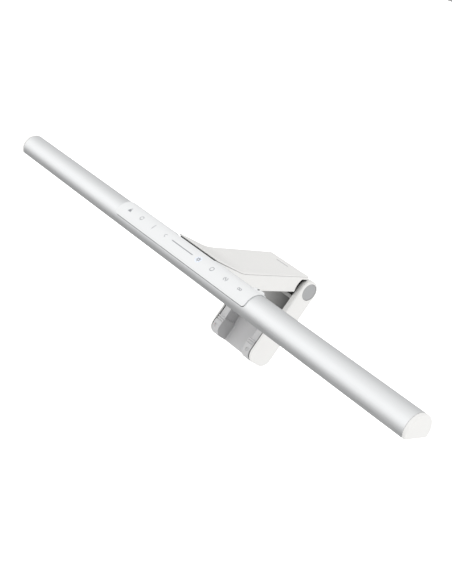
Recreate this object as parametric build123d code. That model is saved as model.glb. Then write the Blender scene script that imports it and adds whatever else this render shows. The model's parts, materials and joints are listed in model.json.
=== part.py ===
"""Monitor light bar: a lamp tube on a short arm, with a hook in front and a sprung leg behind.

Millimetres, +X along the lamp to the user's right, +Y to the rear, +Z up. The origin is where the
monitor's front top edge sits: on the underside of the rest pad, in the plane of the hook pad's rear face.
"""
import os
from math import cos, degrees, radians, sin

from build123d import *

# Lamp tube: round on top, cut flat underneath
BAR_LENGTH = 500.0
CAP_THICKNESS = 3.0
CAP_ROUNDING = 0.8
GROOVE_WIDTH = 0.4
GROOVE_DEPTH = 0.4
TUBE_RADIUS = 11.5
TUBE_WALL = 1.1
FLAT_DROP = 5.5
SLOT_HALF = 8.4
BAR_Y = -56.0
BAR_Z = 15.2

# Light engine, measured from the tube's axis
DIFFUSER_FLANGE_HALF = 9.1
DIFFUSER_FLANGE = 1.0
BAR_PLATE_HALF = 7.5
BAR_PLATE = 1.5
BAR_PLATE_Z = 0.4
LED_BOARD_HALF = 5.0
LED_BOARD = 1.0
LED_COUNT = 60
LED_PITCH = 7.9
LED_SIZE = (3.5, 2.8, 0.7)
INNER_LENGTH = 484.0
TROUGH_END_X = 240.0
CAP_PLUG_DEPTH = 5.0
CAP_PLUG_WALL = 1.4

# Touch panel on the tube's front and top
PANEL_HALF = 86.3
PANEL_THICKNESS = 0.8
PANEL_FRONT_DEG = 170.4
PANEL_REAR_DEG = 50.0
PANEL_CORNER = 3.0
PANEL_NOTCH_X = (-25.5, 28.8)
PANEL_NOTCH_DEG = 83.5
GASKET_THICKNESS = 0.15
GASKET_MARGIN = 0.55
GASKET_INSET = 0.5
TOUCH_WINDOW_DEG = (103.0, 145.0)
TOUCH_WINDOW_HALF = 80.0
BOARD_RADIUS = (8.2, 9.2)
CHIP_PLACES = ((-66.0, 6.0), (0.0, 7.0), (64.0, 5.0))
ICON_DEG = 124.0
KEY_OFFSETS = (-75.0, -57.7, -40.4, -23.1, 20.8, 38.1, 55.4, 72.7)
SLIDER_HALF = 13.5
NUB_X = 79.4
NUB_DEG = 65.0
NUB_LENGTH = 9.5
NUB_RADIUS = 2.6
NUB_SINK = 0.3
NUB_ROUNDING = 1.1
SENSOR_RADIUS = 1.0
SENSOR_DEG = 100.0

# Tilt mechanism between the tube and the arm
TILT_RANGE_DEG = 12.0
NECK_DEG = 12.0
NECK_HALF_DEG = 10.0
SHOE_HALF_DEG = 18.0
SHOE_HALF = 21.0
SHOE_THICKNESS = 1.2
FIT_GAP = 0.06
SADDLE_RADIUS = 12.7
LINER_DEG = (-8.0, 33.0)
LINER_X = (11.0, 22.0)
SEAL_DEG = (48.0, 54.7)
SEAL_X = (-22.2, 24.6)
SHOE_SCREW_X = 7.0
CABLE_OPENING_HALF = 4.4

# Arm
ARM_HALF = 24.75
ARM_WALL = 1.8
ARM_FLOOR = 2.0
ARM_BOTTOM = 1.2
ARM_LOWER_ROUNDING = 1.4
ARM_UPPER_ROUNDING = 0.6
ARM_TIP_ROUNDING = 0.7
COVER_TIP = (-48.7, 27.0)
COVER_KINK = (-18.3, 16.95)
COVER_KINK_RADIUS = 50.0
COVER_REAR = 54.0
ARM_TOP = 15.6
SEAM_TIP = (-48.2, 25.05)
SEAM_KINK = (-17.3, 15.2)
SEAM_Z = 14.65
SEAM_RADIUS = 30.0
SEAM_GAPS = (0.45, 0.2, 0.1)
KNUCKLE_HALF = 20.6
KNUCKLE_RADIUS = 8.9
SHOULDER_RADIUS = 13.5
SHOULDER_TOP = 12.6
SCREW_SPOTS = ((-17.0, -13.0), (17.0, -13.0), (-17.0, 37.0), (17.0, 37.0))
BOSS_Z = 7.0
RIM_X = 22.3
FRAME_HALF = 13.5
FRAME_SHEET = 1.5

# Electronics in the arm
BOARD_Z = 7.4
BOARD_THICKNESS = 1.2
BOARD_POSTS = ((-20.0, -2.0), (17.5, -2.0), (-20.0, 27.0), (17.5, 27.0))
SOCKET_Y = 12.0
SOCKET_SIZE = (7.3, 8.94, 3.2)
CABLE_HALF = 3.2
CABLE_THICKNESS = 0.5

# Monitor hook and pads
PAD_HALF = 19.0
REST_PAD_REAR = 32.0
HOOK_DEPTH = 7.0
HOOK_THICKNESS = 2.4
HOOK_PAD = 1.0
HOOK_FLANGE = 14.0
HOOK_LEDGE = 0.2
HOOK_SCREW_X = (-12.0, 12.0)
HOOK_SCREW_Y = -8.5

# Leg, measured from the hinge axis with the leg hanging straight down
HINGE_Y = 56.7
HINGE_Z = 2.8
LEG_LEAN_DEG = 22.9
LEG_HALF = 28.3
LEG_ROUNDING = 1.4
EAR_RADIUS = 9.3
EAR_INNER = 22.7
EAR_BOTTOM = -30.0
LEG_FRONT = -16.7
LEG_BOTTOM = -73.0
LEG_CORNER = 9.0
LEG_WALL = 2.0
LEG_INNER = 26.2
BODY_TOP = -38.0
WEB_TOP = -9.6
WEB_REAR_TOP = -6.5
WEB_FRONT = -4.0
PAD_OUTER = 25.4
PAD_SKIN = 2.0
RECESS_HALF = 18.0
RECESS_LOWER_HALF = 16.8
RECESS_FLOOR = -1.7
PAD_FRONT = -17.0
FLANGE_STEP_Z = -57.0
FLANGE_STEP = 1.4
RIB_SLOTS_Z = (-58.6, -60.6)
RIB_SLOT = 1.0
LEG_WEB_Y = 0.3
LEG_BOSS_Y = 2.3
LEG_SCREWS = ((-12.0, -44.0), (12.0, -44.0), (-12.0, -64.0), (12.0, -64.0))

# Hinge parts
SHAFT_RADIUS = 3.0
SHAFT_HALF = 26.6
BUSH_RADIUS = 4.5
BUSH_INNER = 12.0
BUSH_FIT = 0.05
SPRING_POCKET_HALF = 10.5
SPRING_POCKET_RADIUS = 6.9
SPRING_RADIUS = 5.2
SPRING_WIRE = 0.7
SPRING_PITCH = 1.9
SPRING_TURNS = 8
DISC_RADIUS = 7.15
DISC_THICKNESS = 1.4
DISC_INSET = 0.25
DISC_CLEARANCE = 0.2
RING_RADIUS = 4.6
RING_THICKNESS = 0.8
RING_INSET = 1.2
RING_GROOVE = 0.5
WASHER_RADIUS = 8.8
SHIELD_DEG = (80.0, 200.0)


def polar(radius, degrees):
    return radius * cos(radians(degrees)), radius * sin(radians(degrees))


def prism(points, half, radii=0.0):
    """A closed outline of (y, z) points, extruded along X to both sides, with filleted corners."""
    line = FilletPolyline(*points, radius=radii, close=True)
    return extrude(Plane.YZ * make_face(line), amount=half, both=True)


def block(x, y, z):
    """A box between two limits along each axis."""
    size = [high - low for low, high in (x, y, z)]
    middle = [(high + low) / 2 for low, high in (x, y, z)]
    return Pos(*middle) * Box(*size)


def rod(radius, x, y=0.0, z=0.0):
    """A round bar along X between two limits."""
    return Pos((x[0] + x[1]) / 2, y, z) * Rot(0, 90, 0) * Cylinder(radius, x[1] - x[0])


def upright(radius, x, y, z):
    """A round bar along Z between two limits."""
    return Pos(x, y, (z[0] + z[1]) / 2) * Cylinder(radius, z[1] - z[0])


def sector(inner, outer, start_deg, end_deg, half):
    """Part of a ring round the X axis, with angles from +Y towards +Z."""
    reach = outer * 3
    middle = (start_deg + end_deg) / 2
    wedge = [(0, 0)] + [polar(reach, a) for a in (start_deg, middle, end_deg)]
    ring = rod(outer, (-half, half)) - rod(inner, (-half - 1, half + 1))
    return ring & prism(wedge, half + 1)


def through(radius, x, y, z):
    """A round bar along Y between two limits."""
    return Pos(x, (y[0] + y[1]) / 2, z) * Rot(90, 0, 0) * Cylinder(radius, y[1] - y[0])


def on_bar(shape):
    return Pos(0, BAR_Y, BAR_Z) * shape


def on_leg(shape):
    return Pos(0, HINGE_Y, HINGE_Z) * Rot(-LEG_LEAN_DEG, 0, 0) * shape


def mirrored(shape):
    return mirror(shape, about=Plane.YZ)


def group(shapes):
    return Compound([solid for shape in shapes for solid in shape.solids()])


# ---- Lamp tube ---------------------------------------------------------------------------------

def d_section(radius, drop, half):
    cut = block((-half - 1, half + 1), (-radius, radius), (-2 * radius, -drop))
    return rod(radius, (-half, half)) - cut


def light_tube():
    half = BAR_LENGTH / 2 - CAP_THICKNESS
    inner_radius = TUBE_RADIUS - TUBE_WALL
    tube = d_section(TUBE_RADIUS, FLAT_DROP, half)
    tube -= d_section(inner_radius, FLAT_DROP - TUBE_WALL, half + 1)
    tube -= block((-half - 1, half + 1), (-SLOT_HALF, SLOT_HALF), (-FLAT_DROP - 1, 0))
    travel = TILT_RANGE_DEG + NECK_HALF_DEG + 1.5
    slot = sector(inner_radius - 1, TUBE_RADIUS + 1, NECK_DEG - travel, NECK_DEG + travel, 11.5)
    window = sector(inner_radius - 1, TUBE_RADIUS + 1, *TOUCH_WINDOW_DEG, TOUCH_WINDOW_HALF)
    return tube - slot - window


def diffuser():
    half = BAR_LENGTH / 2 - CAP_THICKNESS
    shelf = -FLAT_DROP + TUBE_WALL
    lens = block((-half, half), (-SLOT_HALF + 0.05, SLOT_HALF - 0.05), (-FLAT_DROP, shelf))
    flange_half = DIFFUSER_FLANGE_HALF - 0.1
    flange = block((-half, half), (-flange_half, flange_half), (shelf, shelf + DIFFUSER_FLANGE))
    return lens + flange


def reflector():
    """A trough whose two walls slope from the LED board's edges out to the diffuser."""
    low = -FLAT_DROP + TUBE_WALL + DIFFUSER_FLANGE
    wall = [(5.2, BAR_PLATE_Z), (7.4, BAR_PLATE_Z), (8.1, low), (7.2, low)]
    side = prism(wall, INNER_LENGTH / 2)
    other = mirror(side, about=Plane.XZ)
    trough = side + other
    for x in (-TROUGH_END_X, TROUGH_END_X):
        trough += block((x - 0.6, x + 0.6), (-7.3, 7.3), (low, -1.4))
    return trough


def heat_spreader():
    half = INNER_LENGTH / 2
    top = BAR_PLATE_Z + BAR_PLATE
    return block((-half, half), (-BAR_PLATE_HALF, BAR_PLATE_HALF), (BAR_PLATE_Z, top))


def led_board():
    half = INNER_LENGTH / 2 - 3
    thickness = (BAR_PLATE_Z - LED_BOARD, BAR_PLATE_Z)
    return block((-half, half), (-LED_BOARD_HALF, LED_BOARD_HALF), thickness)


def led_packages():
    length, width, height = LED_SIZE
    top = BAR_PLATE_Z - LED_BOARD
    first = -(LED_COUNT - 1) / 2 * LED_PITCH
    return group(
        Pos(first + i * LED_PITCH, 0, top - height / 2) * Box(length, width, height)
        for i in range(LED_COUNT)
    )


def end_cap():
    """The right-hand cap: a plate with a rounded rim, a shadow groove and a hollow half-round plug."""
    inner = BAR_LENGTH / 2 - CAP_THICKNESS
    plate_half = (CAP_THICKNESS - GROOVE_WIDTH) / 2
    plate = Pos(BAR_LENGTH / 2 - plate_half, 0, 0) * d_section(TUBE_RADIUS, FLAT_DROP, plate_half)
    plate = fillet(plate.faces().sort_by(Axis.X)[-1].edges(), CAP_ROUNDING)
    neck = d_section(TUBE_RADIUS - GROOVE_DEPTH, FLAT_DROP - GROOVE_DEPTH, GROOVE_WIDTH / 2)
    neck = Pos(inner + GROOVE_WIDTH / 2, 0, 0) * neck
    plug_radius = TUBE_RADIUS - TUBE_WALL
    plug_start = inner - CAP_PLUG_DEPTH
    plug = rod(plug_radius, (plug_start, inner)) - rod(plug_radius - CAP_PLUG_WALL, (plug_start - 1, inner))
    plug &= block((plug_start - 1, inner), (-plug_radius, plug_radius), (3.0, plug_radius))
    return plate + neck + plug


# ---- Touch panel -------------------------------------------------------------------------------

def panel_plate(inner, outer, margin=0.0):
    """A curved plate over the tube's front and top, notched for the arm; a margin moves its front edge."""
    front_deg = PANEL_FRONT_DEG + degrees(margin / TUBE_RADIUS)
    plate = sector(inner, outer, PANEL_REAR_DEG, front_deg, PANEL_HALF)
    front_z = polar(TUBE_RADIUS, front_deg)[1]
    rear_y = polar(outer, PANEL_REAR_DEG)[0]
    outline = RectangleRounded(2 * PANEL_HALF, 40, PANEL_CORNER)
    plate &= extrude(Plane.XZ * (Pos(0, front_z + 20) * outline), amount=30, both=True)
    plate &= extrude(Pos(0, rear_y - 20) * outline, amount=30, both=True)
    low, high = PANEL_NOTCH_X
    notch = sector(inner - 1, outer + 1, PANEL_REAR_DEG - 10, PANEL_NOTCH_DEG, (high - low) / 2)
    return plate - Pos((high + low) / 2, 0, 0) * notch


def touch_panel():
    back = TUBE_RADIUS + GASKET_THICKNESS
    y, z = polar(TUBE_RADIUS - NUB_SINK, NUB_DEG)
    nub = rod(NUB_RADIUS, (NUB_X - NUB_LENGTH / 2, NUB_X + NUB_LENGTH / 2), y, z)
    nub = fillet(nub.edges().filter_by(GeomType.CIRCLE), NUB_ROUNDING)
    nub -= rod(back, (-PANEL_HALF, PANEL_HALF))
    return panel_plate(back, TUBE_RADIUS + PANEL_THICKNESS) + nub - sensor_bore(SENSOR_RADIUS, 6.0)


def panel_gasket():
    """A black sheet between the panel and the tube that shows as a thin line along the panel's front."""
    sheet = panel_plate(TUBE_RADIUS, TUBE_RADIUS + GASKET_THICKNESS, GASKET_MARGIN)
    half = PANEL_HALF - GASKET_INSET
    return sheet & block((-half, half), (-20, 20), (-20, 20))


def sensor_bore(radius, length):
    """A short bar that starts inside the nub and comes out of its front slope."""
    y, z = polar(TUBE_RADIUS - NUB_SINK, NUB_DEG)
    dy, dz = polar(1.0, SENSOR_DEG)
    start = Plane(origin=(NUB_X, y + dy * 1.2, z + dz * 1.2), z_dir=(0, dy, dz))
    return start * extrude(Circle(radius), amount=length)


def sensor_window():
    return sensor_bore(SENSOR_RADIUS, NUB_RADIUS - 1.45)


def tilted(shape, degrees):
    """Turns a shape built round +Z so that it faces a direction given from +Y towards +Z."""
    return Rot(degrees - 90, 0, 0) * shape


def touch_board():
    half = TOUCH_WINDOW_HALF - 2
    return tilted(block((-half, half), (-4.2, 4.2), BOARD_RADIUS), ICON_DEG)


def touch_contacts():
    """Conductive rubber posts under the keys and one strip under the slider."""
    reach = (BOARD_RADIUS[1], TUBE_RADIUS - 0.15)
    posts = [upright(1.7, x, 0, reach) for x in KEY_OFFSETS]
    strip = block((-SLIDER_HALF, SLIDER_HALF), (-1.5, 1.5), reach)
    return group([tilted(p, ICON_DEG) for p in posts + [strip]])


def touch_chips():
    low = BOARD_RADIUS[0]
    chips = [block((x, x + width), (-2.5, 2.5), (low - 1.1, low)) for x, width in CHIP_PLACES]
    return group([tilted(chip, ICON_DEG) for chip in chips])


# ---- Tilt mechanism ----------------------------------------------------------------------------

def tilt_shoe():
    """A curved shoe inside the tube, with two necks that come out through the slot to the arm."""
    outer = TUBE_RADIUS - TUBE_WALL - FIT_GAP
    low, high = NECK_DEG - SHOE_HALF_DEG, NECK_DEG + SHOE_HALF_DEG
    shoe = sector(outer - SHOE_THICKNESS, outer, low, high, SHOE_HALF)
    necks = sector(outer - 0.5, SADDLE_RADIUS, NECK_DEG - NECK_HALF_DEG, NECK_DEG + NECK_HALF_DEG, 9.6)
    opening_x = (-CABLE_OPENING_HALF, CABLE_OPENING_HALF)
    necks -= block(opening_x, (0, 20), (-20, 20))
    return shoe + necks - screw_holes(1.0) - block(opening_x, (0, 20), (-1.0, 6.0))


def screw_holes(radius):
    """Two straight holes along the neck direction, one through each neck."""
    left = upright(radius, -SHOE_SCREW_X, 0, (0, 26))
    right = upright(radius, SHOE_SCREW_X, 0, (0, 26))
    return tilted(left, NECK_DEG) + tilted(right, NECK_DEG)


def tilt_liners():
    start, end = LINER_DEG
    x_low, x_high = LINER_X
    strip = sector(TUBE_RADIUS + FIT_GAP, SADDLE_RADIUS, start, end, (x_high - x_low) / 2)
    shift = (x_high + x_low) / 2
    return group([Pos(shift, 0, 0) * strip, Pos(-shift, 0, 0) * strip])


def shoe_screws():
    head_base = 17.8
    screws = []
    for x in (-SHOE_SCREW_X, SHOE_SCREW_X):
        shank = upright(1.0, x, 0, (9.4, head_base))
        head = upright(1.9, x, 0, (head_base, head_base + 1.2))
        screws.append(tilted(shank + head, NECK_DEG))
    return group(screws)


def slot_seal():
    """A black strip on the saddle's top end that closes the gap between the tube and the arm."""
    low, high = SEAL_X
    strip = sector(TUBE_RADIUS + 2 * FIT_GAP, SADDLE_RADIUS, *SEAL_DEG, (high - low) / 2)
    return Pos((high + low) / 2, 0, 0) * strip


# ---- Arm ---------------------------------------------------------------------------------------

def arm_block():
    """The whole outside of the arm, before it is split into a tray and a cover."""
    outline = [
        (COVER_TIP[0], 25.0), COVER_TIP, COVER_KINK, (COVER_REAR, ARM_TOP),
        (COVER_REAR, ARM_BOTTOM), (-27.0, ARM_BOTTOM), (-41.0, 9.5), (-56.0, 11.5),
    ]
    radii = [0, ARM_TIP_ROUNDING, COVER_KINK_RADIUS, ARM_TIP_ROUNDING, 0, 12, 6, 0]
    solid = prism(outline, ARM_HALF, radii)
    side_edges = [e for e in solid.edges() if abs(abs(e.center().X) - ARM_HALF) < 0.01]
    solid = fillet([e for e in side_edges if e.center().Z < 9.0 and e.center().Y < 50], ARM_LOWER_ROUNDING)
    side_edges = [e for e in solid.edges() if abs(abs(e.center().X) - ARM_HALF) < 0.01]
    solid = fillet([e for e in side_edges if e.center().Z > ARM_TOP - 0.1], ARM_UPPER_ROUNDING)
    return solid - on_bar(rod(SADDLE_RADIUS, (-40, 40)))


def above_seam(gaps=(0.0, 0.0, 0.0)):
    """Everything above the seam, lifted by a gap at the tip, at the kink and at the rear."""
    tip, kink, rear = gaps
    half = ARM_HALF + 5
    outline = [
        (-60, SEAM_TIP[1] + tip), (SEAM_TIP[0], SEAM_TIP[1] + tip), (SEAM_KINK[0], SEAM_KINK[1] + kink),
        (70, SEAM_Z + rear), (70, 40), (-60, 40),
    ]
    return prism(outline, half, [0, 0, SEAM_RADIUS, 0, 0, 0])


def arm_top_cover():
    whole = arm_block()
    cover = whole & above_seam(SEAM_GAPS)
    for x in (-RIM_X, RIM_X):
        cover += whole & block((x - 0.6, x + 0.6), (-12, 38), (SEAM_Z - 1.8, COVER_KINK[1]))
    for x, y in SCREW_SPOTS:
        cover += whole & upright(2.4, x, y, (BOSS_Z, COVER_KINK[1]))
        cover -= upright(1.0, x, y, (BOSS_Z - 1, SEAM_Z - 0.7))
    return cover


def arm_cavity():
    outline = [
        (-41.0, 21.0), (-41.0, 15.0), (-37.0, 10.0), (-26.3, ARM_BOTTOM + ARM_FLOOR),
        (41.0, ARM_BOTTOM + ARM_FLOOR), (41.0, 30), (-41.0, 30),
    ]
    half = ARM_HALF - ARM_WALL
    hollow = prism(outline, half, [0, 2, 2, 4, 1, 0, 0])
    for x in ((KNUCKLE_HALF - ARM_WALL, 30), (-30, ARM_WALL - KNUCKLE_HALF)):
        hollow -= rod(SHOULDER_RADIUS + ARM_WALL, x, HINGE_Y, HINGE_Z)
    return hollow - on_bar(rod(SADDLE_RADIUS + 2.0, (-40, 40)))


def knuckle():
    outline = [
        (38, ARM_BOTTOM), (38, SEAM_Z), (53.4, SEAM_Z), (65, 6), (64, -3), (HINGE_Y, -6.1), (49, -2),
    ]
    body = prism(outline, KNUCKLE_HALF, [0, 0, 0, 3, 3, 3, 3])
    return body + rod(KNUCKLE_RADIUS, (-KNUCKLE_HALF, KNUCKLE_HALF), HINGE_Y, HINGE_Z)


def arm_lower_shell():
    shell = arm_block() - above_seam()
    for x in ((KNUCKLE_HALF, 30), (-30, -KNUCKLE_HALF)):
        ear_room = rod(SHOULDER_RADIUS, x, HINGE_Y, HINGE_Z) + block(x, (HINGE_Y - 4, 70), (-20, 20))
        shell -= ear_room & block(x, (0, 80), (-30, SHOULDER_TOP))
    shell += knuckle() - above_seam()
    shell -= arm_cavity()
    for x, y in SCREW_SPOTS:
        shell += upright(2.8, x, y, (ARM_BOTTOM + ARM_FLOOR, BOSS_Z))
        shell -= upright(1.2, x, y, (0, BOSS_Z + 0.5))
        shell -= upright(2.3, x, y, (0, ARM_BOTTOM + 1.6))
    for x, y in BOARD_POSTS:
        shell += upright(1.5, x, y, (ARM_BOTTOM + ARM_FLOOR, BOARD_Z))
    shell -= rod(SPRING_POCKET_RADIUS, (-SPRING_POCKET_HALF, SPRING_POCKET_HALF), HINGE_Y, HINGE_Z)
    shell -= rod(BUSH_RADIUS, (-30, 30), HINGE_Y, HINGE_Z)
    shell -= socket_envelope(0.1)
    shell -= on_bar(screw_holes(1.0))
    shell -= on_bar(block((-CABLE_OPENING_HALF, CABLE_OPENING_HALF), (9.0, 16.0), (-1.0, 5.0)))
    for x in HOOK_SCREW_X:
        shell -= upright(0.9, x, HOOK_SCREW_Y, (0, 3.3))
    return shell


def arm_frame():
    """A bent steel channel: a base on the tray's floor and a raised front that takes the shoe's screws."""
    floor = ARM_BOTTOM + ARM_FLOOR
    inner = FRAME_HALF - FRAME_SHEET
    base = block((-FRAME_HALF, FRAME_HALF), (-25.0, 40.0), (floor, floor + FRAME_SHEET))
    for x in ((-FRAME_HALF, -inner), (inner, FRAME_HALF)):
        base += block(x, (-22.0, 33.0), (floor, floor + 3.6))
    start = SADDLE_RADIUS + 3.4
    face = on_bar(tilted(block((-inner, inner), (-2.6, 4.2), (start, start + FRAME_SHEET)), NECK_DEG))
    slope = prism([(-39.7, 15.2), (-38.1, 15.4), (-23.3, floor + FRAME_SHEET), (-25.0, floor)], inner)
    opening = on_bar(block((-CABLE_OPENING_HALF, CABLE_OPENING_HALF), (12.0, 22.0), (-1.0, 5.0)))
    return base + slope + face - on_bar(screw_holes(1.0)) - opening


# ---- Electronics in the arm --------------------------------------------------------------------

def driver_board():
    return block((-22.0, 19.5), (-4.0, 29.0), (BOARD_Z, BOARD_Z + BOARD_THICKNESS))


def driver_components():
    top = BOARD_Z + BOARD_THICKNESS
    inductor = block((-8, 0), (14, 22), (top, top + 4.2))
    chip = block((3, 8), (2, 7), (top, top + 1.0))
    capacitors = [upright(2.6, x, y, (top, top + 5.0)) for x, y in ((7.0, 14.0), (13.0, 14.0))]
    connector = block((-3.5, 3.5), (-3.5, 0.5), (top, top + 2.6))
    return group([inductor, chip, connector] + capacitors)


def socket_envelope(gap):
    """The outside of the socket, grown by a gap."""
    depth, width, height = SOCKET_SIZE
    z = BOARD_Z + BOARD_THICKNESS + height / 2
    shape = RectangleRounded(width + 2 * gap, height + 2 * gap, height / 2 + gap - 0.02)
    face = Plane(origin=(-ARM_HALF - gap, SOCKET_Y, z), x_dir=(0, 1, 0), z_dir=(1, 0, 0)) * shape
    return extrude(face, amount=depth + 2 * gap)


def usb_c_socket():
    depth, width, height = SOCKET_SIZE
    z = BOARD_Z + BOARD_THICKNESS + height / 2
    mouth = Plane(origin=(-ARM_HALF, SOCKET_Y, z), x_dir=(0, 1, 0), z_dir=(1, 0, 0))
    body = extrude(mouth * RectangleRounded(width, height, height / 2 - 0.02), amount=depth)
    hollow = extrude(mouth * RectangleRounded(width - 0.6, height - 0.64, 1.25), amount=depth - 1.0)
    tongue = Pos(-ARM_HALF + depth / 2 + 0.3, SOCKET_Y, z) * Box(depth - 1.4, 6.7, 0.7)
    return body - hollow + tongue


def bar_cable():
    """A flat flexible cable from the driver board, through the tilt shoe's gap, into the tube."""
    top = BOARD_Z + BOARD_THICKNESS
    path = [(-3.6, top + 1.0), (-24.0, top + 1.0), (-37.5, 16.9), (-51.5, 19.8)]
    upper = [(y, z + CABLE_THICKNESS) for y, z in reversed(path)]
    radii = [0, 4, 4, 0, 0, 4.4, 3.6, 0]
    return prism(path + upper, CABLE_HALF, radii)


# ---- Hook and pads -----------------------------------------------------------------------------

def hook_lip():
    """An L-shaped plastic plate screwed under the arm: its lip hangs in front of the monitor."""
    front = -HOOK_PAD - HOOK_THICKNESS
    flange_front = -HOOK_PAD - HOOK_FLANGE
    outline = [
        (0, ARM_BOTTOM), (0, HOOK_LEDGE), (-HOOK_PAD, HOOK_LEDGE), (-HOOK_PAD, -HOOK_DEPTH),
        (front, -HOOK_DEPTH), (front, 0), (flange_front, 0), (flange_front, ARM_BOTTOM),
    ]
    lip = prism(outline, PAD_HALF, [0, 0, 0, 1.0, 1.0, 1.5, 0.8, 0])
    for x in HOOK_SCREW_X:
        lip -= upright(0.9, x, HOOK_SCREW_Y, (-1, 2))
        lip -= upright(1.9, x, HOOK_SCREW_Y, (-1, 0.7))
    return lip


def hook_pad():
    return block((-PAD_HALF + 0.8, PAD_HALF - 0.8), (-HOOK_PAD, 0), (-HOOK_DEPTH + 1.0, 0))


def rest_pad():
    pad = block((-PAD_HALF, PAD_HALF), (0, REST_PAD_REAR), (0, ARM_BOTTOM))
    corners = pad.edges().filter_by(Axis.Z).group_by(Axis.Y)[-1]
    return fillet(corners, 3.0)


def hook_screws():
    return group(
        upright(0.9, x, HOOK_SCREW_Y, (0.7, 3.1)) + upright(1.8, x, HOOK_SCREW_Y, (0.0, 0.7))
        for x in HOOK_SCREW_X
    )


def cover_screws():
    head_z = ARM_BOTTOM + 1.6
    return group(
        upright(1.0, x, y, (head_z, 13.0)) + upright(2.1, x, y, (head_z - 1.3, head_z))
        for x, y in SCREW_SPOTS
    )


# ---- Hinge -------------------------------------------------------------------------------------

def hinge_shaft():
    shaft = rod(SHAFT_RADIUS, (-SHAFT_HALF, SHAFT_HALF))
    for s in (-1, 1):
        start = SHAFT_HALF - RING_INSET
        x = sorted((s * start, s * (start + RING_THICKNESS)))
        shaft -= rod(SHAFT_RADIUS + 1, x) - rod(SHAFT_RADIUS - RING_GROOVE, x)
    return shaft


def hinge_bush():
    bush = rod(BUSH_RADIUS, (BUSH_INNER, KNUCKLE_HALF), HINGE_Y, HINGE_Z)
    return bush - rod(SHAFT_RADIUS + BUSH_FIT, (0, 30), HINGE_Y, HINGE_Z)


def hinge_washer():
    """A black spacer between the knuckle and the ear, with a shield that closes the gap above it."""
    low, high = KNUCKLE_HALF, EAR_INNER - 0.1
    shield = sector(WASHER_RADIUS - 1, SHOULDER_RADIUS - 0.1, *SHIELD_DEG, (high - low) / 2)
    shield = Pos((high + low) / 2, HINGE_Y, HINGE_Z) * shield
    shield &= block((low, high), (0, COVER_REAR - 0.5), (-30, SHOULDER_TOP))
    washer = rod(WASHER_RADIUS, (low, high), HINGE_Y, HINGE_Z) + shield
    return washer - rod(SHAFT_RADIUS + BUSH_FIT, (0, 30), HINGE_Y, HINGE_Z)


def retaining_ring():
    """A split ring in the shaft's groove."""
    low = SHAFT_HALF - RING_INSET
    ring = rod(RING_RADIUS, (low, low + RING_THICKNESS))
    ring -= rod(SHAFT_RADIUS - RING_GROOVE, (low - 1, low + 2))
    return ring - block((low - 1, low + 2), (-1.2, 1.2), (-6, 0))


def torsion_spring():
    """A close coil round the shaft, with a short straight tail at each end."""
    height = SPRING_PITCH * SPRING_TURNS
    path = Helix(pitch=SPRING_PITCH, height=height, radius=SPRING_RADIUS)
    coil = sweep(Plane(origin=path @ 0, z_dir=path % 0) * Circle(SPRING_WIRE), path=path)
    return Rot(0, 90, 0) * (Pos(0, 0, -height / 2) * coil)


def hinge_cap():
    """A grey disc, flush in the ear's outer face."""
    low = LEG_HALF - DISC_THICKNESS
    disc = rod(DISC_RADIUS, (low, LEG_HALF - DISC_INSET))
    return fillet(disc.edges().sort_by(Axis.X)[-1:], 0.25)


# ---- Leg ---------------------------------------------------------------------------------------

def leg_envelope():
    outline = [
        (-EAR_RADIUS, 0), (-EAR_RADIUS, EAR_BOTTOM + 2), (LEG_FRONT, BODY_TOP), (LEG_FRONT, LEG_BOTTOM),
        (EAR_RADIUS, LEG_BOTTOM), (EAR_RADIUS, 0), (0, 4),
    ]
    solid = prism(outline, LEG_HALF, [0, 8, 5, LEG_CORNER, LEG_CORNER, 0, 0])
    solid += rod(EAR_RADIUS, (-LEG_HALF, LEG_HALF))
    sides = solid.faces().filter_by(Axis.X)
    return fillet([e for face in sides for e in face.edges()], LEG_ROUNDING)


def knuckle_space():
    """Everything between the ears that the arm's knuckle needs."""
    x = (-EAR_INNER, EAR_INNER)
    space = block(x, (-30, 0), (WEB_TOP, 30)) + block(x, (0, 30), (WEB_REAR_TOP, 30))
    return space + rod(KNUCKLE_RADIUS + 0.5, x)


def leg_cavity():
    """The open front of the shell: wide in the body, narrow between the ears."""
    rear = EAR_RADIUS - LEG_WALL
    body = [
        (-25, -80), (0.5, -80), (0.5, LEG_BOTTOM + LEG_WALL), (rear, LEG_BOTTOM + LEG_WALL),
        (rear, BODY_TOP + 3), (-25, BODY_TOP + 3),
    ]
    upper = [
        (-25, BODY_TOP - 1), (rear, BODY_TOP - 1), (rear, WEB_TOP - 3),
        (WEB_FRONT, WEB_TOP - 3), (WEB_FRONT, 0), (-25, 0),
    ]
    return prism(body, LEG_INNER, [0, 0, 0, 6, 0, 0]) + prism(upper, EAR_INNER)


def leg_shell():
    shell = leg_envelope() - knuckle_space() - leg_cavity()
    shell -= rod(SHAFT_RADIUS, (-30, 30))
    pocket = rod(DISC_RADIUS + DISC_CLEARANCE, (LEG_HALF - DISC_THICKNESS, 40))
    ring_room = rod(RING_RADIUS + 0.3, (SHAFT_HALF - 1.6, 40))
    shell = shell - pocket - ring_room - mirrored(pocket) - mirrored(ring_room)
    for x, z in LEG_SCREWS:
        shell += through(2.2, x, (LEG_BOSS_Y, EAR_RADIUS - LEG_WALL), z)
        shell -= through(1.0, x, (LEG_BOSS_Y, EAR_RADIUS - LEG_WALL - 0.3), z)
    return shell


def flange_core_x(side):
    """The limits along X of the rail inside one of the pad's flanges."""
    return sorted((side * (RECESS_HALF + PAD_SKIN + 0.3), side * (PAD_OUTER - PAD_SKIN)))


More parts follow.
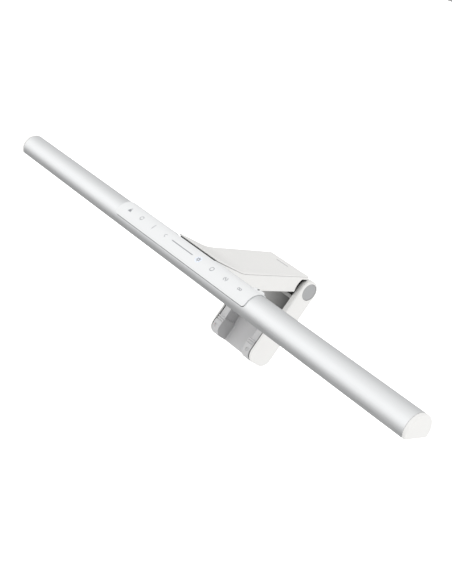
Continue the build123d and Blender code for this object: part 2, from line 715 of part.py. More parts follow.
def leg_frame():
    """The leg's front chassis: a web behind the pad, two rails inside its flanges and an upper cover."""
    wide = (0.1 - LEG_INNER, LEG_INNER - 0.1)
    narrow = (0.1 - EAR_INNER, EAR_INNER - 0.1)
    frame = block(wide, (LEG_WEB_Y, LEG_BOSS_Y), (LEG_BOTTOM + LEG_WALL + 0.2, BODY_TOP + 1))
    frame += block(narrow, (WEB_FRONT, WEB_FRONT + 2), (BODY_TOP + 1, WEB_TOP - 3.1))
    frame += block(wide, (LEG_FRONT + 2.2, LEG_BOSS_Y), (BODY_TOP - 1, BODY_TOP + 1))
    for side in (-1, 1):
        frame += block(flange_core_x(side), (LEG_FRONT + 2.7, LEG_WEB_Y), (LEG_BOTTOM + 5, BODY_TOP - 1))
    for x, z in LEG_SCREWS:
        frame -= through(1.1, x, (LEG_WEB_Y - 1, LEG_BOSS_Y + 1), z)
        frame -= through(2.2, x, (LEG_WEB_Y, LEG_WEB_Y + 1), z)
    return frame


def leg_pad():
    """A silicone U: two proud flanges joined by a thin floor, open at the bottom."""
    top = BODY_TOP - 1
    recess_top = top - 2.5
    outline = [(PAD_FRONT, top), (PAD_FRONT, LEG_BOTTOM), (LEG_WEB_Y, LEG_BOTTOM), (LEG_WEB_Y, top)]
    pad = prism(outline, PAD_OUTER, [1.0, 8.0, 0, 0])
    lower_x = (-RECESS_LOWER_HALF, RECESS_LOWER_HALF)
    pad -= block(lower_x, (-30, RECESS_FLOOR), (LEG_BOTTOM - 1, recess_top))
    pad -= block((-RECESS_HALF, RECESS_HALF), (-30, RECESS_FLOOR), (FLANGE_STEP_Z, recess_top))
    pad -= block((-30, 30), (-30, PAD_FRONT + FLANGE_STEP), (FLANGE_STEP_Z, top + 1))
    for z in RIB_SLOTS_Z:
        pad -= block((-30, 30), (-30, PAD_FRONT + 1), (z - RIB_SLOT / 2, z + RIB_SLOT / 2))
    for side in (-1, 1):
        pad -= block(flange_core_x(side), (LEG_FRONT + 2.7, 1), (LEG_BOTTOM + 5, top))
        pocket_x = sorted((side * (RECESS_HALF + 2.2), side * (RECESS_HALF + 5.4)))
        pad -= block(pocket_x, (-30, PAD_FRONT + 1.2), (-67.6, -64.6))
    return pad


def leg_gasket(front):
    """A black strip that fills the gap between the pad and the shell's right side."""
    top = BODY_TOP - 1.1
    bottom = LEG_BOTTOM + 0.4
    outline = [(front, top), (front, bottom), (LEG_WEB_Y, bottom), (LEG_WEB_Y, top)]
    strip = prism(outline, LEG_INNER, [0, 8.6, 0, 0])
    return strip & block((PAD_OUTER + 0.05, LEG_INNER - 0.05), (-30, 10), (-90, 0))


def counterweight():
    lower = block((-24.5, 24.5), (2.5, 6.6), (LEG_BOTTOM + 7.5, BODY_TOP + 1.5))
    upper = block((-19.5, 19.5), (-1.8, 6.6), (BODY_TOP + 1.5, WEB_TOP - 4.5))
    weight = lower + upper
    weight = fillet(weight.edges().filter_by(Axis.Y).group_by(Axis.Z)[0], 5.0)
    for x, z in LEG_SCREWS:
        weight -= through(2.4, x, (1.5, 7.5), z)
    return weight


def leg_screws():
    screws = []
    for x, z in LEG_SCREWS:
        shank = through(1.0, x, (1.2, 6.2), z)
        screws.append(shank + through(2.0, x, (LEG_WEB_Y, 1.2), z))
    return group(screws)


# ---- Every node --------------------------------------------------------------------------------

# Shapes built round the tube's axis; the shoe, its liners and screws and the seal are fixed to the arm
BAR_NODES = {
    "light_tube": light_tube,
    "diffuser": diffuser,
    "reflector": reflector,
    "heat_spreader": heat_spreader,
    "led_board": led_board,
    "led_packages": led_packages,
    "end_cap_right": end_cap,
    "end_cap_left": lambda: mirrored(end_cap()),
    "touch_panel": touch_panel,
    "panel_gasket": panel_gasket,
    "sensor_window": sensor_window,
    "touch_board": touch_board,
    "touch_contacts": touch_contacts,
    "touch_chips": touch_chips,
    "tilt_shoe": tilt_shoe,
    "tilt_liners": tilt_liners,
    "shoe_screws": shoe_screws,
    "slot_seal": slot_seal,
}
ARM_NODES = {
    "arm_lower_shell": arm_lower_shell,
    "arm_top_cover": arm_top_cover,
    "arm_frame": arm_frame,
    "cover_screws": cover_screws,
    "driver_board": driver_board,
    "driver_components": driver_components,
    "usb_c_socket": usb_c_socket,
    "bar_cable": bar_cable,
    "hook_lip": hook_lip,
    "hook_pad": hook_pad,
    "hook_screws": hook_screws,
    "rest_pad": rest_pad,
    "hinge_bush_right": hinge_bush,
    "hinge_bush_left": lambda: mirrored(hinge_bush()),
    "hinge_washers": lambda: group([hinge_washer(), mirrored(hinge_washer())]),
}
LEG_NODES = {
    "leg_shell": leg_shell,
    "leg_frame": leg_frame,
    "leg_pad": leg_pad,
    "leg_gasket": lambda: group([leg_gasket(LEG_FRONT + 0.1), mirrored(leg_gasket(LEG_FRONT + 2.2))]),
    "counterweight": counterweight,
    "leg_screws": leg_screws,
    "hinge_shaft": hinge_shaft,
    "torsion_spring": torsion_spring,
    "retaining_rings": lambda: group([retaining_ring(), mirrored(retaining_ring())]),
    "hinge_cap_right": hinge_cap,
    "hinge_cap_left": lambda: mirrored(hinge_cap()),
}

os.makedirs("parts", exist_ok=True)
for name, build in BAR_NODES.items():
    export_step(on_bar(build()), f"parts/{name}.step")
for name, build in ARM_NODES.items():
    export_step(build(), f"parts/{name}.step")
for name, build in LEG_NODES.items():
    export_step(on_leg(build()), f"parts/{name}.step")
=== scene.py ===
"""Looks of the monitor light bar on its CAD frame: materials, printed marks, soft pads and a plain studio."""

import json
import math

import bmesh
import bpy
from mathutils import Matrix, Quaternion, Vector


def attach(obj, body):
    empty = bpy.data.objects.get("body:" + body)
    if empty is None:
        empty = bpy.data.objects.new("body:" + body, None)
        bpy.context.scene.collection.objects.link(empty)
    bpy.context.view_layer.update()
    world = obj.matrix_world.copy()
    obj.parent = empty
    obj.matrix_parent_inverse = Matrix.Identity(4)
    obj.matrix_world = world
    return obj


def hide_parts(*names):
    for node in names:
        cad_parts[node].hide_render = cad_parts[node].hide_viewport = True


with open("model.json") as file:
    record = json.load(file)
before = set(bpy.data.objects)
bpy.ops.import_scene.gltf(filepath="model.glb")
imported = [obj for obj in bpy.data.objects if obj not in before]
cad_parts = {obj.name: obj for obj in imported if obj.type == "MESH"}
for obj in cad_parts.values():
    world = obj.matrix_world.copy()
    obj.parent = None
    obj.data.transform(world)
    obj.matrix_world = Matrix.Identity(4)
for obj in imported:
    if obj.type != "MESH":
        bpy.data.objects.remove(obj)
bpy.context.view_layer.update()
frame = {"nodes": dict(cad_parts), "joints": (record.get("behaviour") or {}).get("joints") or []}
nodes = frame["nodes"]

MM = 0.001


def axis_of(joint_name):
    """Where a joint's axis lies, as (y, z) in millimetres; both axes run along X."""
    place = next(joint["pos_m"] for joint in frame["joints"] if joint["name"] == joint_name)
    return place[1] / MM, place[2] / MM


# Places on the object, in millimetres; from COVER_LEVEL_Y to the rear the cover falls slightly from COVER_Z
BAR_AXIS_Y, BAR_AXIS_Z = axis_of("bar_tilt")
HINGE_Y, HINGE_Z = axis_of("leg_hinge")
PANEL_RADIUS = 12.3
ICON_DEG = 127.5
COVER_Z = 16.95
COVER_LEVEL_Y = -18.3
COVER_SLOPE = 0.01867
MARK_X = -0.7
MARK_Y = 45.5

# Printed marks, in millimetres: each layer lies a little lower than the one before, so none coincide
PRINT_LIFT = 0.03
PRINT_THICKNESS = 0.02
PRINT_CELL = 0.5
LAYER_STEP = 0.0002
CUT_ROUNDS = 3
DISC_POINTS = 16
END_POINTS = 10
ARC_STEPS = 14
FINE_LINE = 0.4
LINE = 0.45
BOLD_LINE = 0.5
ICON_RADIUS = 1.7

# A ring stops a little short of its start, in degrees, and the stroke's round ends close it
RING_END = 350

# Touch keys, slider and status ring on the panel, and dashes on the cover, in millimetres
LAMP_X, LENS_X, BAR_X, MOON_X = -73.6, -56.7, -39.5, -22.6
SUN_X, RING_X, WAVES_X, PAIR_X = 21.7, 38.9, 55.9, 72.7
SLIDER_START = -13.3
SLIDER_LENGTH = 27
SLIDER_WIDTH = 0.75
STATUS_RADIUS = 2.7
STATUS_WIDTH = 0.3
DASH_COUNT = 7
DASH_START = -7.0
DASH_PITCH = 2.1
DASH_LENGTH = 1.4
DASH_WIDTH = 1.0

# Camera: place in the row frame in metres, viewing angle, roll and lens
CAMERA_PLACE = (0.59124, -0.57192, 0.26388)
CAMERA_AZIMUTH = 46.23
CAMERA_ELEVATION = 18.58
CAMERA_ROLL = 18.16
CAMERA_LENS = 66.70
CAMERA_SENSOR = 36.0
CAMERA_CLIP = (0.01, 100.0)

# World light: its even level, then lobes of (direction, outer angle, inner angle, change in level)
WORLD_LEVEL = 1.05
WORLD_LOBES = (
    ((-0.68, -0.67, 0.30), 38.0, 0.0, 0.26),
    ((-0.68, -0.32, -0.66), 46.0, 5.0, -0.78),
    ((-0.68, 0.66, 0.25), 62.0, 5.0, -0.36),
    ((-0.68, 0.72, -0.12), 28.0, 4.0, -0.32),
)

# Floor, in metres: far below the part, and so wide that its edge is out of the picture
FLOOR_Z = -0.9
FLOOR_HALF = 60.0
FLOOR_GREY = 0.9
FLOOR_ROUGHNESS = 0.8
FLOOR_GLOW = 0.75

# Silicone pads: how the skin made from the CAD solid is rounded over
ROUNDING_PASSES = 3
ROUNDING_FACTOR = 0.5

# Materials: noise scales, the band that noise stays in, and values that all of a kind share
BEVEL_SAMPLES = 4
OCCLUSION_SAMPLES = 8
BROAD_SCALE = 38.0
CLOUD_SCALE = 420.0
MOULD_STRENGTH = 0.35
FLOW_STRENGTH = 0.10
FLOW_DEPTH = 0.02
METAL_STRENGTH = 0.25
METAL_SPECK_SCALE = 7000.0
METAL_SPECK_DEPTH = 0.006
METAL_CLOUD_SCALE = 60.0
NOISE_ROUGHNESS = 0.55
NOISE_BAND = (0.3, 0.7)
COAT_ROUGHNESS = 0.2
SHEEN_ROUGHNESS = 0.5
SUBSURFACE_RADIUS = (1.0, 0.85, 0.7)
SUBSURFACE_DEPTH = 1.5
RING_PITCH = 0.24
DISC_METALLIC = 0.55
GLOW_BASE = (0.75, 0.8, 0.9)

# Painted shade: the openness at which a corner is painted darkest, and how squarely a wall must face along X
# to be shaded
SHUT_IN = 0.1
WALL_SHADE_BAND = (0.55, 0.95)


# ---- Materials -----------------------------------------------------------------------------------

def new_material(name):
    material = bpy.data.materials.new(name)
    material.use_nodes = True
    tree = material.node_tree
    shader = tree.nodes["Principled BSDF"]
    return material, tree, shader


def coordinates(tree, scale):
    """Object coordinates, stretched by a scale along each axis."""
    source = tree.nodes.new("ShaderNodeTexCoord")
    mapping = tree.nodes.new("ShaderNodeMapping")
    mapping.inputs["Scale"].default_value = scale
    tree.links.new(source.outputs["Object"], mapping.inputs["Vector"])
    return mapping.outputs["Vector"]


def noise(tree, scale, detail=3.0, stretch=(1, 1, 1)):
    node = tree.nodes.new("ShaderNodeTexNoise")
    node.inputs["Scale"].default_value = scale
    node.inputs["Detail"].default_value = detail
    node.inputs["Roughness"].default_value = NOISE_ROUGHNESS
    tree.links.new(coordinates(tree, stretch), node.inputs["Vector"])
    return node.outputs["Fac"]


def ramp(tree, source, low, high, to_low, to_high):
    """Maps a value from one range to another, and keeps it inside."""
    node = tree.nodes.new("ShaderNodeMapRange")
    node.inputs["From Min"].default_value = low
    node.inputs["From Max"].default_value = high
    node.inputs["To Min"].default_value = to_low
    node.inputs["To Max"].default_value = to_high
    tree.links.new(source, node.inputs["Value"])
    return node.outputs["Result"]


def glossed(tree, shader, source, smooth, rough):
    """Lets the roughness follow a noise from one value to another."""
    tree.links.new(ramp(tree, source, *NOISE_BAND, smooth, rough), shader.inputs["Roughness"])


def tint(tree, factor, dark, light):
    """A colour that follows a noise from a dark shade to a light one."""
    node = tree.nodes.new("ShaderNodeMix")
    node.data_type = "RGBA"
    node.inputs["A"].default_value = (*dark, 1)
    node.inputs["B"].default_value = (*light, 1)
    tree.links.new(factor, node.inputs["Factor"])
    return node.outputs["Result"]


def bumps(tree, shader, layers, edge=0.0):
    """Chains bump layers of (height, strength, distance), on normals that round the sharp edges."""
    normal = None
    if edge:
        bevel = tree.nodes.new("ShaderNodeBevel")
        bevel.samples = BEVEL_SAMPLES
        bevel.inputs["Radius"].default_value = edge * MM
        normal = bevel.outputs["Normal"]
    for height, strength, distance in layers:
        bump = tree.nodes.new("ShaderNodeBump")
        bump.inputs["Strength"].default_value = strength
        bump.inputs["Distance"].default_value = distance * MM
        tree.links.new(height, bump.inputs["Height"])
        if normal is not None:
            tree.links.new(normal, bump.inputs["Normal"])
        normal = bump.outputs["Normal"]
    if normal is not None:
        tree.links.new(normal, shader.inputs["Normal"])


def shade(colour, amount):
    return tuple(min(1.0, c * amount) for c in colour)


def multiplied(tree, colour, factor):
    """A colour darkened by a linked factor."""
    mix = tree.nodes.new("ShaderNodeMix")
    mix.data_type = "RGBA"
    mix.blend_type = "MULTIPLY"
    mix.inputs["Factor"].default_value = 1.0
    tree.links.new(colour, mix.inputs["A"])
    tree.links.new(factor, mix.inputs["B"])
    return mix.outputs["Result"]


def occluded(tree, colour, distance, darkest, full):
    """Darkens a colour where other surfaces shut out the light; from the openness full on it is unchanged."""
    occlusion = tree.nodes.new("ShaderNodeAmbientOcclusion")
    occlusion.samples = OCCLUSION_SAMPLES
    occlusion.inputs["Distance"].default_value = distance * MM
    return multiplied(tree, colour, ramp(tree, occlusion.outputs["AO"], SHUT_IN, full, darkest, 1.0))


def x_part(tree, output):
    """The X part of one of the texture coordinate node's outputs."""
    source = tree.nodes.new("ShaderNodeTexCoord")
    split = tree.nodes.new("ShaderNodeSeparateXYZ")
    tree.links.new(source.outputs[output], split.inputs["Vector"])
    return split.outputs["X"]


def painted_shade_along_x(tree, colour, start, end, amount):
    """Paints shade that deepens steadily from one place along X to another, in millimetres."""
    return multiplied(tree, colour, ramp(tree, x_part(tree, "Object"), start * MM, end * MM, 1.0, amount))


def painted_shade_on_side_walls(tree, colour, amount):
    """Paints shade on the walls that face along X."""
    size = tree.nodes.new("ShaderNodeMath")
    size.operation = "ABSOLUTE"
    tree.links.new(x_part(tree, "Normal"), size.inputs[0])
    return multiplied(tree, colour, ramp(tree, size.outputs["Value"], *WALL_SHADE_BAND, 1.0, amount))


def moulded(name, colour, roughness, grain=5200.0, depth=0.012, variation=0.03, edge=0.25, specular=0.5,
            coat=0.0, subsurface=0.0, sheen=0.0, shadow=None, walls=None, fade=None):
    """Moulded plastic or rubber: a spark-eroded grain, faint flow marks and a slight change of gloss.

    shadow is (distance, darkest, full) for the painted shade of occluded, walls the amount of painted
    shade on walls that face along X, and fade (start, end, amount) for painted shade that deepens along X.
    """
    material, tree, shader = new_material(name)
    broad = noise(tree, BROAD_SCALE, 2.0)
    fine = noise(tree, grain, 2.0)
    cloud = noise(tree, CLOUD_SCALE)
    base = tint(tree, broad, shade(colour, 1 - variation), shade(colour, 1 + variation))
    if shadow:
        base = occluded(tree, base, *shadow)
    if walls:
        base = painted_shade_on_side_walls(tree, base, walls)
    if fade:
        base = painted_shade_along_x(tree, base, *fade)
    tree.links.new(base, shader.inputs["Base Color"])
    glossed(tree, shader, cloud, roughness - 0.04, roughness + 0.05)
    shader.inputs["Specular IOR Level"].default_value = specular
    shader.inputs["Coat Weight"].default_value = coat
    shader.inputs["Coat Roughness"].default_value = COAT_ROUGHNESS
    shader.inputs["Subsurface Weight"].default_value = subsurface
    shader.inputs["Subsurface Radius"].default_value = SUBSURFACE_RADIUS
    shader.inputs["Subsurface Scale"].default_value = SUBSURFACE_DEPTH * MM
    shader.inputs["Sheen Weight"].default_value = sheen
    shader.inputs["Sheen Roughness"].default_value = SHEEN_ROUGHNESS
    bumps(tree, shader, [(fine, MOULD_STRENGTH, depth), (cloud, FLOW_STRENGTH, FLOW_DEPTH)], edge)
    return material


def metal(name, colour, roughness, stretch, grain, depth, variation=0.04, edge=0.2):
    """Metal with a directional grain: stretch is small along the grain and large across it."""
    material, tree, shader = new_material(name)
    lines = noise(tree, grain, 4.0, stretch)
    speck = noise(tree, METAL_SPECK_SCALE, 1.0)
    cloud = noise(tree, METAL_CLOUD_SCALE)
    base = tint(tree, cloud, shade(colour, 1 - variation), shade(colour, 1 + variation))
    tree.links.new(base, shader.inputs["Base Color"])
    glossed(tree, shader, lines, roughness - 0.05, roughness + 0.05)
    shader.inputs["Metallic"].default_value = 1.0
    bumps(tree, shader, [(lines, METAL_STRENGTH, depth), (speck, METAL_STRENGTH, METAL_SPECK_DEPTH)], edge)
    return material


def vector_step(tree, operation, source, operand=(0, 0, 0)):
    """One step of vector arithmetic on a linked vector and a fixed one."""
    node = tree.nodes.new("ShaderNodeVectorMath")
    node.operation = operation
    node.inputs[1].default_value = operand
    tree.links.new(source, node.inputs[0])
    return node.outputs["Value" if operation in ("LENGTH", "DOT_PRODUCT") else "Vector"]


def turned_metal(name, colour, roughness, centre_y, centre_z):
    """Metal faced on a lathe about an axis along X: fine rings round the centre."""
    material, tree, shader = new_material(name)
    source = tree.nodes.new("ShaderNodeTexCoord").outputs["Object"]
    shifted = vector_step(tree, "SUBTRACT", source, (0, centre_y * MM, centre_z * MM))
    flat = vector_step(tree, "MULTIPLY", shifted, (0, 1, 1))
    wave = tree.nodes.new("ShaderNodeMath")
    wave.operation = "MULTIPLY"
    wave.inputs[1].default_value = 2 * math.pi / (RING_PITCH * MM)
    tree.links.new(vector_step(tree, "LENGTH", flat), wave.inputs[0])
    ring = tree.nodes.new("ShaderNodeMath")
    ring.operation = "SINE"
    tree.links.new(wave.outputs["Value"], ring.inputs[0])
    speck = noise(tree, 3500.0, 2.0)
    base = tint(tree, speck, shade(colour, 0.94), shade(colour, 1.06))
    tree.links.new(base, shader.inputs["Base Color"])
    glossed(tree, shader, speck, roughness - 0.04, roughness + 0.06)
    shader.inputs["Metallic"].default_value = DISC_METALLIC
    bumps(tree, shader, [(ring.outputs["Value"], 0.25, 0.004), (speck, 0.3, 0.008)], 0.15)
    return material


def glowing(name, colour, strength):
    """A pale print that gives off a little light."""
    material, tree, shader = new_material(name)
    speck = noise(tree, 4000.0, 2.0)
    tree.links.new(tint(tree, speck, shade(GLOW_BASE, 0.96), GLOW_BASE), shader.inputs["Base Color"])
    glossed(tree, shader, speck, 0.35, 0.45)
    shader.inputs["Emission Color"].default_value = (*colour, 1)
    shader.inputs["Emission Strength"].default_value = strength
    return material


def frosted(name):
    """Milky light-spreading plastic."""
    material, tree, shader = new_material(name)
    speck = noise(tree, 3000.0, 2.0)
    cloud = noise(tree, 90.0, 2.0)
    base = tint(tree, cloud, (0.80, 0.81, 0.81), (0.86, 0.86, 0.86))
    tree.links.new(base, shader.inputs["Base Color"])
    glossed(tree, shader, speck, 0.42, 0.52)
    shader.inputs["Specular IOR Level"].default_value = 0.45
    bumps(tree, shader, [(speck, 0.15, 0.004)], 0.15)
    return material


SHELL_WHITE = (0.83, 0.825, 0.81)
materials = {
    "tube": metal("Tube_aluminium", (0.775, 0.785, 0.79), 0.42, (0.02, 1.0, 1.0), 2600.0, 0.006,
                  variation=0.012, edge=0.15),
    # The shell's white is darkened in corners, seams and gaps that other parts close in: painted shade.
    "white": moulded("Shell_white", SHELL_WHITE, 0.46, edge=0.3, shadow=(12.0, 0.12, 0.55)),
    # The leg's white is the shell's white with deep painted shade where the arm and hinge close it in.
    "white_leg_painted_shade": moulded("Leg_white_painted_shade", SHELL_WHITE, 0.46, edge=0.3, shadow=(40.0, 0.03, 0.60)),
    # The leg frame's white between the ears is a little darker, with painted shade under the arm and painted
    # shade deepening along X towards the hinge.
    "white_frame_painted_shade": moulded("Frame_white_painted_shade", (0.80, 0.795, 0.78), 0.5, edge=0.3,
                          shadow=(40.0, 0.15, 0.80), fade=(-8.0, 18.0, 0.25)),
    "cap": moulded("Cap_white", (0.85, 0.845, 0.83), 0.40, edge=0.2),
    "panel": moulded("Panel_white", (0.835, 0.845, 0.85), 0.36, 8000.0, 0.006, 0.01, 0.2, coat=0.1),
    "sensor": moulded("Sensor_dark", (0.030, 0.032, 0.036), 0.12, 4000.0, 0.002, 0.05, 0.1, coat=0.6),
    "print": moulded("Print_grey", (0.30, 0.31, 0.33), 0.5, 6000.0, 0.004, 0.04, 0.0),
    "print_light": moulded("Print_light_grey", (0.38, 0.385, 0.39), 0.5, 6000.0, 0.004, 0.04, 0.0),
    "print_blue": moulded("Print_blue_grey", (0.16, 0.20, 0.28), 0.5, 6000.0, 0.004, 0.04, 0.0),
    "glow": glowing("Status_glow", (0.35, 0.6, 1.0), 0.35),
    "diffuser": frosted("Diffuser_frost"),
    "reflector": moulded("Reflector_white", (0.88, 0.88, 0.87), 0.35),
    "board_white": moulded("Board_white", (0.82, 0.83, 0.82), 0.35),
    "board_green": moulded("Board_green", (0.02, 0.16, 0.07), 0.32, 2500.0, 0.01, 0.15),
    "led": moulded("Led_yellow", (0.85, 0.62, 0.12), 0.3),
    "chip": moulded("Chip_black", (0.025, 0.025, 0.027), 0.4),
    # Black rubber, also used for the strips that stand in for the shade of narrow gaps.
    "rubber": moulded("Rubber_black_and_gap_shade", (0.010, 0.010, 0.010), 0.6, 3000.0, 0.02, specular=0.25),
    "cable": moulded("Cable_black", (0.035, 0.035, 0.037), 0.5, 3000.0, 0.02),
    "bush": moulded("Bush_plastic", (0.62, 0.61, 0.56), 0.4),
    # The leg pad's silicone has painted shade in its recess: darker in closed-in corners and on walls that
    # face along X.
    "silicone": moulded("Silicone_grey_painted_shade", (0.585, 0.585, 0.59), 0.58, 2800.0, 0.02, 0.03, 0.3, sheen=0.12,
                        subsurface=0.05, shadow=(8.0, 0.75, 0.8), walls=0.66),
    "silicone_light": moulded("Silicone_rest", (0.42, 0.42, 0.425), 0.58, 2800.0, 0.02, 0.03, 0.3,
                              sheen=0.12),
    "disc": turned_metal("Hinge_disc", (0.42, 0.425, 0.43), 0.42, HINGE_Y, HINGE_Z),
    "steel": metal("Steel", (0.50, 0.50, 0.51), 0.32, (1.0, 1.0, 1.0), 1500.0, 0.004),
    "weight": metal("Weight_steel", (0.33, 0.33, 0.34), 0.45, (1.0, 1.0, 1.0), 700.0, 0.01),
    "spring": metal("Spring_steel", (0.40, 0.40, 0.41), 0.28, (1.0, 1.0, 1.0), 1500.0, 0.004),
    "inner": metal("Inner_metal", (0.62, 0.63, 0.64), 0.35, (0.05, 1.0, 1.0), 1500.0, 0.004),
}

NODE_LOOK = {
    "light_tube": "tube",
    "diffuser": "diffuser",
    "reflector": "reflector",
    "heat_spreader": "inner",
    "led_board": "board_white",
    "led_packages": "led",
    "end_cap_right": "cap",
    "end_cap_left": "cap",
    "touch_panel": "panel",
    "sensor_window": "sensor",
    "touch_board": "board_green",
    "touch_contacts": "rubber",
    "touch_chips": "chip",
    "tilt_shoe": "inner",
    "tilt_liners": "rubber",
    "shoe_screws": "steel",
    "arm_lower_shell": "white",
    "arm_top_cover": "white",
    "arm_frame": "steel",
    "cover_screws": "steel",
    "driver_board": "board_green",
    "driver_components": "chip",
    "usb_c_socket": "steel",
    "bar_cable": "cable",
    "hook_lip": "white",
    "hook_pad": "silicone_light",
    "hook_screws": "steel",
    "rest_pad": "silicone_light",
    "hinge_bush_right": "bush",
    "hinge_bush_left": "bush",
    # These black strips make narrow gaps read dark: painted shade by the hinge, under the cover's front edge,
    # along the panel's front edge and round the leg pad; the hinge washers are also real black hinge parts.
    "hinge_washers": "rubber",
    "slot_seal": "rubber",
    "panel_gasket": "rubber",
    "leg_gasket": "rubber",
    "leg_shell": "white_leg_painted_shade",
    "leg_frame": "white_frame_painted_shade",
    "leg_pad": "silicone",
    "counterweight": "weight",
    "leg_screws": "steel",
    "hinge_shaft": "steel",
    "torsion_spring": "spring",
    "retaining_rings": "steel",
    "hinge_cap_right": "disc",
    "hinge_cap_left": "disc",
}
for name, look in NODE_LOOK.items():
    mesh_slots = nodes[name].material_slots
    if not mesh_slots:
        nodes[name].data.materials.append(materials[look])
    for mesh_slot in mesh_slots:
        mesh_slot.material = materials[look]


# ---- Printed marks on the touch panel and the cover ----------------------------------------------

def add_piece(name, mesh, look, body):
    """A piece of the visual model, riding on a body, with one of the script's materials."""
    mesh.materials.append(materials[look])
    piece = bpy.data.objects.new(name, mesh)
    bpy.context.scene.collection.objects.link(piece)
    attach(piece, body)
    return piece


def disc_outline(x, y, radius, count=DISC_POINTS):
    steps = [2 * math.pi * i / count for i in range(count)]
    return [(x + radius * math.cos(a), y + radius * math.sin(a)) for a in steps]


def stroke(points, width):
    """A line of a given width with round ends, as a list of flat convex polygons."""
    half = width / 2
    shapes = [disc_outline(x, y, half, END_POINTS) for x, y in points]
    for (x0, y0), (x1, y1) in zip(points, points[1:]):
        length = math.hypot(x1 - x0, y1 - y0)
        nx, ny = -(y1 - y0) / length * half, (x1 - x0) / length * half
        shapes.append([(x0 + nx, y0 + ny), (x0 - nx, y0 - ny), (x1 - nx, y1 - ny), (x1 + nx, y1 + ny)])
    return shapes


def arc(x, y, radius, start, end, width=LINE, count=ARC_STEPS):
    """A round stroke from one angle to another, in degrees."""
    steps = [math.radians(start + (end - start) * i / count) for i in range(count + 1)]
    return stroke([(x + radius * math.cos(a), y + radius * math.sin(a)) for a in steps], width)


def on_panel(u, v, lift):
    """A point u along the bar and v up the panel from the icons' line, wrapped round the tube."""
    angle = math.radians(ICON_DEG) - v / PANEL_RADIUS
    radius = PANEL_RADIUS + lift
    y = BAR_AXIS_Y + radius * math.cos(angle)
    z = BAR_AXIS_Z + radius * math.sin(angle)
    return Vector((u * MM, y * MM, z * MM))


def on_cover(u, v, lift):
    """A point u to the right and v to the rear of the mark's middle, on the cover's level part."""
    z = COVER_Z - (MARK_Y + v - COVER_LEVEL_Y) * COVER_SLOPE
    return Vector(((MARK_X + u) * MM, (MARK_Y + v) * MM, (z + lift) * MM))


def printed(name, shapes, place):
    """One printed mark: thin closed sheets, cut small enough to follow the surface of place(u, v, lift)."""
    bm = bmesh.new()
    for layer, shape in enumerate(shapes):
        lift = PRINT_LIFT - PRINT_THICKNESS - LAYER_STEP * layer
        bm.faces.new([bm.verts.new((u, v, lift)) for u, v in shape])
    bmesh.ops.triangulate(bm, faces=bm.faces[:])
    for _ in range(CUT_ROUNDS):
        long_edges = [edge for edge in bm.edges if edge.calc_length() > PRINT_CELL]
        bmesh.ops.subdivide_edges(bm, edges=long_edges, cuts=1)
    bmesh.ops.triangulate(bm, faces=bm.faces[:])
    raised = bmesh.ops.extrude_face_region(bm, geom=bm.faces[:])["geom"]
    top = [item for item in raised if isinstance(item, bmesh.types.BMVert)]
    bmesh.ops.translate(bm, verts=top, vec=(0, 0, PRINT_THICKNESS))
    for vertex in bm.verts:
        vertex.co = place(*vertex.co)
    bmesh.ops.recalc_face_normals(bm, faces=bm.faces)
    mesh = bpy.data.meshes.new(name)
    bm.to_mesh(mesh)
    bm.free()
    return mesh


def icon_lamp(x):
    """A shade with a bulb above it."""
    fan = [(x - 2.0, -1.7), (x + 2.0, -1.7), (x + 1.0, 0.7), (x - 1.0, 0.7)]
    return [fan, disc_outline(x, 1.5, 0.6)]


def icon_bar(x):
    """An upright stroke."""
    return stroke([(x, -2.2), (x, 2.2)], BOLD_LINE)


def icon_moon(x):
    """An arc open to the right."""
    return arc(x + 0.3, 0, 1.3, 70, 290, FINE_LINE)


def icon_sun(x):
    """A ring with six short rays."""
    rays = []
    for i in range(6):
        a = math.radians(60 * i + 30)
        rays += stroke([(x + r * math.cos(a), r * math.sin(a)) for r in (1.7, 2.1)], FINE_LINE)
    return rays + arc(x, 0, 1.1, 0, RING_END, 0.55)


def icon_ring(x, start, end, count=ARC_STEPS):
    """A ring, which can be left open."""
    return arc(x, 0, ICON_RADIUS, start, end, BOLD_LINE, count)


def icon_waves(x):
    """A dot between two arcs."""
    return arc(x, 0, 1.8, 120, 240) + arc(x, 0, 1.8, -60, 60) + [disc_outline(x, 0, 0.65)]


def icon_pair(x):
    """Two small rings side by side."""
    return arc(x - 1.0, 0, 0.9, 0, RING_END) + arc(x + 1.0, 0, 0.9, 0, RING_END)


slider = [(SLIDER_START + i, 0.0) for i in range(SLIDER_LENGTH + 1)]
MARKS = {
    "Icon_lamp": (icon_lamp(LAMP_X), "print"),
    "Icon_lens": (icon_ring(LENS_X, 20, 340), "print"),
    "Icon_bar": (icon_bar(BAR_X), "print"),
    "Icon_moon": (icon_moon(MOON_X), "print"),
    "Slider_line": (stroke(slider, SLIDER_WIDTH), "print"),
    "Icon_sun": (icon_sun(SUN_X), "print_blue"),
    "Icon_ring": (icon_ring(RING_X, 0, RING_END, 20), "print"),
    "Icon_waves": (icon_waves(WAVES_X), "print"),
    "Icon_pair": (icon_pair(PAIR_X), "print"),
    "Status_ring": (arc(SUN_X, 0, STATUS_RADIUS, 0, RING_END, STATUS_WIDTH, 24), "glow"),
}
for name, (shapes, look) in MARKS.items():
    add_piece(name, printed(name, shapes, on_panel), look, "bar")

dashes = []
for i in range(DASH_COUNT):
    dash_start = DASH_START + DASH_PITCH * i
    dashes += stroke([(dash_start, 0.0), (dash_start + DASH_LENGTH, 0.0)], DASH_WIDTH)
add_piece("Cover_mark", printed("Cover_mark", dashes, on_cover), "print_light", "arm")


# ---- Silicone pads -------------------------------------------------------------------------------

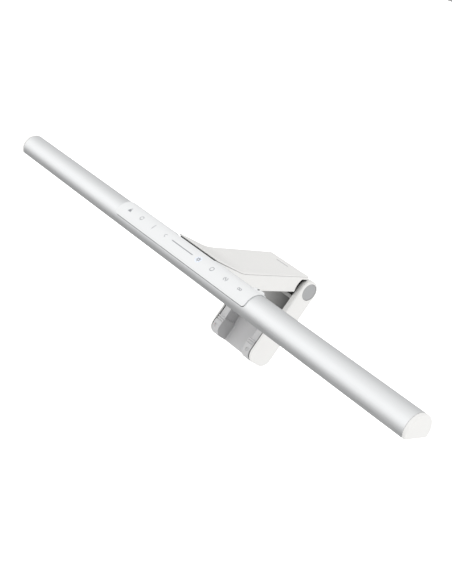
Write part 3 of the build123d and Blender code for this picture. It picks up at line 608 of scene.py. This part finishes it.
def silicone(node, name, body, look, cell):
    """A soft moulded pad made from a CAD solid: an even skin of small cells, then rounded over."""
    mesh = nodes[node].data.copy()
    mesh.materials.clear()
    pad = add_piece(name, mesh, look, body)
    pad.matrix_world = nodes[node].matrix_world
    skin = pad.modifiers.new("Skin", "REMESH")
    skin.mode = "VOXEL"
    skin.voxel_size = cell * MM
    skin.use_smooth_shade = True
    round_over = pad.modifiers.new("Round_over", "SMOOTH")
    round_over.factor = ROUNDING_FACTOR
    round_over.iterations = ROUNDING_PASSES
    graph = bpy.context.evaluated_depsgraph_get()
    pad.data = bpy.data.meshes.new_from_object(pad.evaluated_get(graph))
    pad.modifiers.clear()
    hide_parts(node)


silicone("leg_pad", "Leg_pad_silicone", "leg", "silicone", 0.4)
silicone("rest_pad", "Rest_pad_silicone", "arm", "silicone_light", 0.35)
silicone("hook_pad", "Hook_pad_silicone", "arm", "silicone_light", 0.25)


# ---- Studio --------------------------------------------------------------------------------------

def aim(azimuth, elevation, roll):
    """The camera's turn for looking at the part from an azimuth and elevation, in degrees."""
    a, e = math.radians(azimuth), math.radians(elevation)
    back = Vector((math.sin(a) * math.cos(e), -math.cos(a) * math.cos(e), math.sin(e)))
    level = (-back).to_track_quat("-Z", "Y")
    return level @ Quaternion((0, 0, 1), math.radians(roll))


camera_data = bpy.data.cameras.new("Camera")
camera_data.lens = CAMERA_LENS
camera_data.sensor_width = CAMERA_SENSOR
camera = bpy.data.objects.new("Camera", camera_data)
camera.location = CAMERA_PLACE
camera.rotation_mode = "QUATERNION"
camera.rotation_quaternion = aim(CAMERA_AZIMUTH, CAMERA_ELEVATION, CAMERA_ROLL)
camera_data.clip_start, camera_data.clip_end = CAMERA_CLIP
bpy.context.scene.collection.objects.link(camera)
bpy.context.scene.camera = camera

# World: an even studio, brighter at the front left, and greyer low down and at the rear left
world = bpy.data.worlds.new("Studio")
world.use_nodes = True
bpy.context.scene.world = world
sky = world.node_tree
direction = sky.nodes.new("ShaderNodeTexCoord").outputs["Generated"]
level = None
for towards, outer_deg, inner_deg, amount in WORLD_LOBES:
    closeness = vector_step(sky, "DOT_PRODUCT", direction, Vector(towards).normalized())
    lobe = sky.nodes.new("ShaderNodeMapRange")
    lobe.interpolation_type = "SMOOTHSTEP"
    lobe.inputs["From Min"].default_value = math.cos(math.radians(outer_deg))
    lobe.inputs["From Max"].default_value = math.cos(math.radians(inner_deg))
    lobe.inputs["To Max"].default_value = amount
    sky.links.new(closeness, lobe.inputs["Value"])
    total = sky.nodes.new("ShaderNodeMath")
    total.operation = "ADD"
    total.inputs[1].default_value = WORLD_LEVEL
    if level is not None:
        sky.links.new(level, total.inputs[1])
    sky.links.new(lobe.outputs["Result"], total.inputs[0])
    level = total.outputs["Value"]
sky.links.new(level, sky.nodes["Background"].inputs["Strength"])
sky.nodes["Background"].inputs["Color"].default_value = (1, 1, 1, 1)

# Floor: seen by the camera only, so the part is lit from below as well
floor_mesh = bpy.data.meshes.new("Floor")
floor_corners = [(x * FLOOR_HALF, y * FLOOR_HALF, FLOOR_Z) for x, y in ((-1, -1), (1, -1), (1, 1), (-1, 1))]
floor_mesh.from_pydata(floor_corners, [], [(0, 1, 2, 3)])
floor = bpy.data.objects.new("Floor", floor_mesh)
bpy.context.scene.collection.objects.link(floor)
floor_material, _, floor_shader = new_material("Floor_white")
floor_shader.inputs["Base Color"].default_value = (FLOOR_GREY, FLOOR_GREY, FLOOR_GREY, 1)
floor_shader.inputs["Roughness"].default_value = FLOOR_ROUGHNESS
floor_shader.inputs["Emission Color"].default_value = (1, 1, 1, 1)
floor_shader.inputs["Emission Strength"].default_value = FLOOR_GLOW
floor_mesh.materials.append(floor_material)
floor.visible_diffuse = False
floor.visible_glossy = False
floor.visible_transmission = False
floor.visible_shadow = False

view = bpy.context.scene.view_settings
view.view_transform = "Standard"
view.look = "None"
view.exposure = 0.0
view.gamma = 1.0
